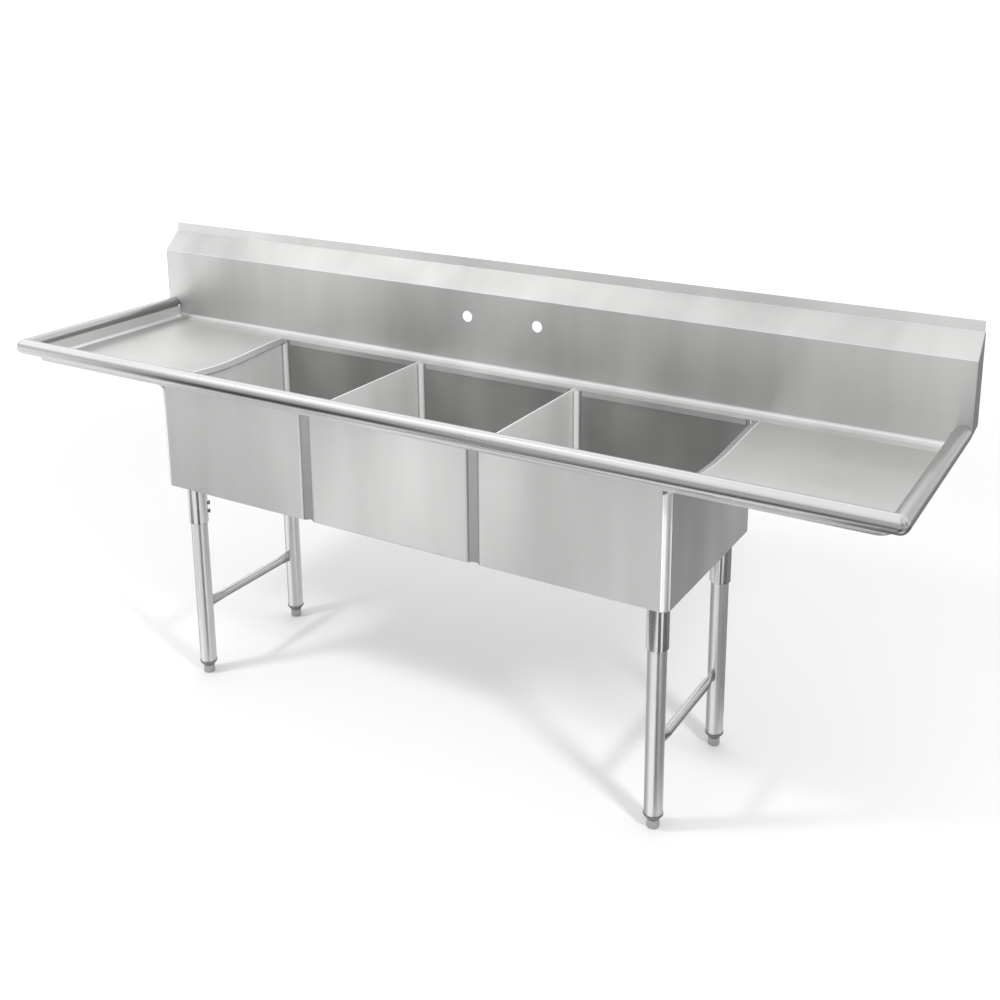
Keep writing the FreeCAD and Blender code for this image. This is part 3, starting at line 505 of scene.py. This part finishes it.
def make_materials():
    return {
        "splash": brushed("splash_steel", "x", 0.68, 0.37, 0.96, wave=2.6 * MM, wave_scale=(3.2, 3.2, 1.0),
                          cloud=0.085, band=0.055, shade=shade_splash),
        "sheet": brushed("sheet_steel", "x", 0.72, 0.40, 0.85, wave=0.4 * MM),
        "drainboard": brushed("drainboard_steel", "x", 0.65, 0.40, 0.85, wave=0.4 * MM, cloud=0.03,
                              shade=shade_drainboard),
        # End caps: a much darker copy of the steel, painted shade.
        "end_cap": brushed("end_cap_steel", "x", 0.36, 0.40, 0.85),
        "front_rim": brushed("front_rim_steel", "x", 0.61, 0.28, 0.2, wave=0.3 * MM, shade=shade_front_rim),
        # Side rims: a darker copy of the front rim's steel, painted shade.
        "side_rim": brushed("side_rim_steel", "y", 0.54, 0.30, 0.2, wave=0.3 * MM, shade=shade_side_rim),
        # Divider caps: a bright, less mirror-like copy of the steel, a painted highlight line.
        "divider": brushed("divider_steel", "y", 0.90, 0.30, 0.0, wave=0.0, metallic=0.3),
        "bowl": brushed("bowl_steel", "x", 0.69, 0.38, 0.95, wave=2.0 * MM, wave_scale=(5.0, 5.0, 1.2),
                        cloud=0.08, band=0.045, shade=shade_bowl),
        # Seam strips: a dark copy of the steel, painted shade in the recess between the bowls.
        "seam": brushed("seam_steel", "z", 0.36, 0.40, 0.4, wave=0.0),
        "plate": brushed("plate_steel", "x", 0.52, 0.38, 0.3),
        "tube": brushed("tube_steel", "round", 0.66, 0.34, 0.98, wave=0.0, shade=shade_tube),
        "bar": brushed("bar_steel", "y", 0.54, 0.24, 0.2, wave=0.0, shade=shade_bar),
        "socket": brushed("socket_steel", "round", 0.62, 0.15, 0.7, wave=0.0),
        "drain": brushed("drain_steel", "x", 0.62, 0.18, 0.0, wave=0.0),
        "chrome": brushed("tailpiece_chrome", "z", 0.70, 0.08, 0.0, wave=0.0),
        "nut": matte("nut_metal", 0.52, 0.32, 600.0, 0.03 * MM, metallic=1.0),
        "weld": matte("weld_metal", 0.50, 0.30, 350.0, 0.08 * MM, metallic=1.0),
        "screw": matte("screw_steel", 0.22, 0.35, 900.0, 0.02 * MM, metallic=1.0),
        "insert": matte("insert_metal", 0.24, 0.45, 1200.0, 0.04 * MM, metallic=1.0),
        "foot": matte("foot_steel", 0.42, 0.40, 1200.0, 0.04 * MM, metallic=1.0),
        "rubber": matte("rubber", 0.02, 0.75, 1500.0, 0.05 * MM),
        "fibre": matte("fibre", 0.35, 0.85, 800.0, 0.06 * MM, tint=(1.0, 0.8, 0.58)),
    }


MATERIAL_BY_NAME = (            # start of the node's name, and its material
    ("backsplash", "splash"),
    ("splash_end_cap", "end_cap"),
    ("drainboard", "drainboard"),
    ("front_apron", "sheet"),
    ("front_rim", "front_rim"),
    ("side_rim", "side_rim"),
    ("bowl", "bowl"),
    ("divider_cap", "divider"),
    ("front_seam_strip", "seam"),
    ("rear_seam_strip", "seam"),
    ("leg_plate", "plate"),
    ("leg_socket", "socket"),
    ("socket_set_screws", "screw"),
    ("leg_tube", "tube"),
    ("crossbar", "bar"),
    ("foot_insert", "insert"),
    ("bullet_foot", "foot"),
    ("drain_body", "drain"),
    ("strainer_basket", "drain"),
    ("drain_tailpiece", "chrome"),
    ("drain_locknuts", "nut"),
    ("drain_coupling_nuts", "nut"),
    ("drain_gaskets", "rubber"),
    ("basket_seal", "rubber"),
    ("drain_washers", "fibre"),
)


def finish_cad_nodes(materials):
    for name, node in nodes.items():
        key = next(key for prefix, key in MATERIAL_BY_NAME if name.startswith(prefix))
        for slot in node.material_slots:
            slot.material = materials[key]


# ---------------------------------------------------------------- weld beads
BEAD_STEP = 1.4 * MM            # one ripple of a weld bead
RIPPLE = 0.16                   # of the bead's radius
FEWEST_RIPPLES = 16
BAR_BEAD = 1.2 * MM             # radius of each kind of bead
SOCKET_BEAD = 1.6 * MM
PLATE_BEAD = 1.4 * MM
SOCKET_SINK = 0.6 * MM          # how far a bead's middle lies below the upper face
PLATE_SINK = 0.8 * MM
BAR_TIP_HALF_WIDTH = 4.7 * MM   # of the crossbar's pressed end


def make_bead(name, points, radius, material):
    """Rippled weld bead along a closed path of (x, y, z) points."""
    curve = bpy.data.curves.new(name, "CURVE")
    curve.dimensions = "3D"
    curve.bevel_depth = radius
    curve.bevel_resolution = 3
    spline = curve.splines.new("POLY")
    spline.points.add(len(points) - 1)
    for index, (point, place) in enumerate(zip(spline.points, points)):
        point.co = (*place, 1.0)
        point.radius = 1.0 + RIPPLE * (1 if index % 2 else -1)
    spline.use_cyclic_u = True
    curve.materials.append(material)
    piece = bpy.data.objects.new(name, curve)
    bpy.context.scene.collection.objects.link(piece)
    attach(piece, "sink")


def loop_points(place_at, length):
    """Even number of points round a closed path, one per ripple; place_at takes a turn from 0 to 1."""
    count = max(FEWEST_RIPPLES, 2 * round(length / BEAD_STEP / 2))
    return [place_at(index / count) for index in range(count)]


def ring_points(center, radius):
    def place_at(turn):
        angle = 2 * math.pi * turn
        return center[0] + radius * math.cos(angle), center[1] + radius * math.sin(angle), center[2]
    return loop_points(place_at, 2 * math.pi * radius)


def square_points(center, half):
    """Loop round a square plate, on its edge."""
    def place_at(turn):
        side, along = divmod(4 * turn, 1)
        x, y = (2 * along - 1) * half, -half
        for _ in range(int(side)):
            x, y = -y, x
        return center[0] + x, center[1] + y, center[2]
    return loop_points(place_at, 8 * half)


def oval_points(bar, leg, toward):
    """Loop where the pressed end of a crossbar meets its leg."""
    bar_low, bar_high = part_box(bar)
    leg_low, leg_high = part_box(leg)
    leg_r = (leg_high[0] - leg_low[0]) / 2
    leg_x, leg_y, _ = middle_of(leg_low, leg_high)
    _, _, bar_z = middle_of(bar_low, bar_high)
    half_height = (bar_high[2] - bar_low[2]) / 2

    def place_at(turn):
        angle = 2 * math.pi * turn
        x = BAR_TIP_HALF_WIDTH * math.cos(angle)
        y = math.sqrt(leg_r ** 2 - x ** 2)
        return leg_x + x, leg_y + toward * y, bar_z + half_height * math.sin(angle)
    return loop_points(place_at, 4 * half_height)


def middle_of(low, high):
    return [(low[axis] + high[axis]) / 2 for axis in range(3)]


def upper_middle(name, sink):
    """Middle of a node in plan, just below its upper face, and half of its width."""
    low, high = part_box(name)
    x, y, _ = middle_of(low, high)
    return (x, y, high[2] - sink), (high[0] - low[0]) / 2


def make_welds(material):
    for side in ("left", "right"):
        for end, toward in (("front", 1), ("rear", -1)):
            place = end + "_" + side
            bar_path = oval_points("crossbar_" + side, "leg_tube_" + place, toward)
            make_bead("crossbar_weld_" + place, bar_path, BAR_BEAD, material)
            ring = ring_points(*upper_middle("leg_socket_" + place, SOCKET_SINK))
            make_bead("socket_weld_" + place, ring, SOCKET_BEAD, material)
            square = square_points(*upper_middle("leg_plate_" + place, PLATE_SINK))
            make_bead("plate_weld_" + place, square, PLATE_BEAD, material)


# ---------------------------------------------------------------- floor
FLOOR_SIZE = 400.0
FLOOR_COLOUR = (0.80, 0.80, 0.80, 1.0)
FLOOR_ROUGHNESS = 0.9
FLOOR_SPECULAR = 0.1
FLOOR_GLOW = (1.8, 6.0)         # the floor glows more and more between these distances, painted light
GLOW_STRENGTH = 0.42


def add_flat_mesh(name, corners, height):
    """One flat face in the scene, with a new material of its own; gives object, tree and shader."""
    mesh = bpy.data.meshes.new(name)
    mesh.from_pydata([(x, y, height) for x, y in corners], [], [range(len(corners))])
    piece = bpy.data.objects.new(name, mesh)
    bpy.context.scene.collection.objects.link(piece)
    material, tree, shader = new_material(name)
    mesh.materials.append(material)
    return piece, tree, shader


def rectangle(low, high):
    return [(low[0], low[1]), (high[0], low[1]), (high[0], high[1]), (low[0], high[1])]


def make_floor():
    """Pale floor that glows more and more into the distance, painted light that keeps it evenly white like
    a studio sweep.
    """
    half = FLOOR_SIZE / 2
    floor, tree, shader = add_flat_mesh("studio_floor", rectangle((-half, -half), (half, half)), 0.0)
    shader.inputs["Base Color"].default_value = FLOOR_COLOUR
    shader.inputs["Roughness"].default_value = FLOOR_ROUGHNESS
    shader.inputs["Specular IOR Level"].default_value = FLOOR_SPECULAR
    shader.inputs["Emission Color"].default_value = (1.0, 1.0, 1.0, 1.0)
    place = tree.nodes.new("ShaderNodeTexCoord").outputs["Object"]
    distance = vector_math(tree, "LENGTH", place).outputs["Value"]
    glow = times(tree, ramp(tree, distance, *FLOOR_GLOW), GLOW_STRENGTH)
    tree.links.new(glow, shader.inputs["Emission Strength"])


# ---------------------------------------------------------------- world
SKY = (                         # how high a direction looks, and the brightness there
    (0.0, 1.05),
    (0.12, 1.05),
    (0.38, 1.0),
    (0.48, 1.25),
    (0.55, 2.0),
    (0.63, 1.3),
    (0.8, 1.2),
    (1.0, 1.3),
)
BRIGHT_SIDE = (-0.49, 0.87, 0.0)
DARK_SIDE_LEVEL = 0.55
SIDE_BLEND = (-0.6, 0.3)        # from the dark side to the bright one
CEILING = (0.3, 0.75)           # as high as this there is no dark side
# Angle in plan of the band's middle, half of its full part, half of its whole width, and its share.
DARK_BANDS = (
    (-50.0, 6.0, 18.0, 0.55),
    (5.0, 3.0, 9.0, 0.8),
    (60.0, 14.0, 38.0, 0.25),
)


def sky_brightness(tree, height):
    """Brightness by how high a direction looks; the curve holds it as a share of the last point's."""
    curve = tree.nodes.new("ShaderNodeFloatCurve")
    points = curve.mapping.curves[0].points
    overhead = SKY[-1][1]
    points[0].location = (SKY[0][0], SKY[0][1] / overhead)
    points[1].location = (SKY[-1][0], 1.0)
    for level, brightness in SKY[1:-1]:
        points.new(level, brightness / overhead)
    curve.mapping.update()
    tree.links.new(height, curve.inputs["Value"])
    return times(tree, curve.outputs["Value"], overhead)


def side_level(tree, direction):
    """1 toward the bright side of the room and less toward the dark one."""
    facing = vector_math(tree, "DOT_PRODUCT", direction, BRIGHT_SIDE)
    bright = ramp(tree, facing.outputs["Value"], *SIDE_BLEND)
    return add_share(tree, DARK_SIDE_LEVEL, bright, 1.0 - DARK_SIDE_LEVEL)


def make_world():
    """Bright backdrop, darker room in front and a lit ceiling; the camera itself sees plain white."""
    world = bpy.data.worlds.new("studio")
    bpy.context.scene.world = world
    world.use_nodes = True
    tree = world.node_tree
    direction = tree.nodes.new("ShaderNodeTexCoord").outputs["Generated"]
    _, _, height = split_vector(tree, direction)
    level = combine(tree, "MAXIMUM", side_level(tree, direction), ramp(tree, height, *CEILING))
    for toward, inner, outer, share in DARK_BANDS:
        band = direction_band(tree, direction, toward, inner, outer)
        level = times(tree, level, minus(tree, 1.0, times(tree, band, share)))
    studio = times(tree, level, sky_brightness(tree, height))
    rays = tree.nodes.new("ShaderNodeLightPath")
    seen = combine(tree, "MAXIMUM", studio, rays.outputs["Is Camera Ray"])
    tree.links.new(seen, tree.nodes["Background"].inputs["Color"])


# ---------------------------------------------------------------- lights
KEY_TARGET = (0.0, 0.0, 0.2)
KEYS = (                        # name, place, side, watts
    ("key_right", (2.7, -1.3, 2.4), 0.4, 46.0),
    ("key_left", (-2.0, -1.9, 3.2), 0.5, 48.0),
)
GLOW_PLACE = (-1.6, -0.6, 3.4)
GLOW_TARGET = (0.0, 0.29, 1.0)
GLOW_SIZE = (1.0, 2.2)
GLOW_WATTS = 6.0


def make_softbox(name, location, target, size, power):
    light = bpy.data.lights.new(name, "AREA")
    light.shape = "RECTANGLE"
    light.size, light.size_y = size
    light.energy = power
    lamp = bpy.data.objects.new(name, light)
    lamp.location = location
    lamp.rotation_mode = "QUATERNION"
    lamp.rotation_quaternion = (Vector(target) - Vector(location)).to_track_quat("-Z", "Y")
    bpy.context.scene.collection.objects.link(lamp)
    return lamp


def make_lights():
    """Two keys that reflections don't see, and a glow that only reflections see."""
    for name, place, side, watts in KEYS:
        key = make_softbox(name, place, KEY_TARGET, (side, side), watts)
        key.visible_glossy = False
    glow = make_softbox("glow", GLOW_PLACE, GLOW_TARGET, GLOW_SIZE, GLOW_WATTS)
    glow.visible_diffuse = False
    glow.visible_shadow = False


CLOTH_Z = 2.0 * MM
LEG_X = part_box("leg_tube_front_right")[0][0]
LEG_CLOTH = ((0.07, -0.30), (0.95, -2.1), (2.0, -1.6), (0.16, -0.24))      # X from the leg, and Y
CLOTHS = (                      # name, corners, brightness
    ("cloth_right_rear", rectangle((0.40, 0.30), (6.0, 9.0)), 0.22),
    ("cloth_right", rectangle((0.80, -0.42), (2.6, 0.30)), 0.12),
    ("cloth_front", [(-2.1, -1.75), (-1.0, -1.35), (-0.7, -0.50), (-1.5, -0.50)], 0.25),
    ("cloth_left_legs", [(x - LEG_X, y) for x, y in LEG_CLOTH], 0.12),
    ("cloth_right_legs", [(x + LEG_X, y) for x, y in LEG_CLOTH], 0.12),
)


def make_cloths():
    """Dark cloths on the floor that only reflections see, to give the bright metal its edges."""
    for name, corners, level in CLOTHS:
        cloth, _, shader = add_flat_mesh(name, corners, CLOTH_Z)
        shader.inputs["Base Color"].default_value = (level, level, level, 1.0)
        shader.inputs["Roughness"].default_value = 1.0
        cloth.visible_camera = False
        cloth.visible_diffuse = False
        cloth.visible_shadow = False


# ---------------------------------------------------------------- camera
CAMERA_PLACE = (1.5707, -2.3322, 1.7357)
CAMERA_YAW = 29.586
CAMERA_PITCH = -13.989
CAMERA_LENS = 45.08
CAMERA_SHIFT = (-0.0383, -0.2000)
CAMERA_SENSOR = 36.0
CAMERA_CLIP = (0.05, 200.0)


def make_camera():
    data = bpy.data.cameras.new("camera")
    data.sensor_width = CAMERA_SENSOR
    data.lens = CAMERA_LENS
    data.shift_x, data.shift_y = CAMERA_SHIFT
    data.clip_start, data.clip_end = CAMERA_CLIP
    camera = bpy.data.objects.new("camera", data)
    camera.location = CAMERA_PLACE
    camera.rotation_euler = (math.radians(90 + CAMERA_PITCH), 0.0, math.radians(CAMERA_YAW))
    bpy.context.scene.collection.objects.link(camera)
    bpy.context.scene.camera = camera
    bpy.context.scene.view_settings.view_transform = "Standard"


materials = make_materials()
finish_cad_nodes(materials)
make_welds(materials["weld"])
make_floor()
make_world()
make_lights()
make_cloths()
make_camera()
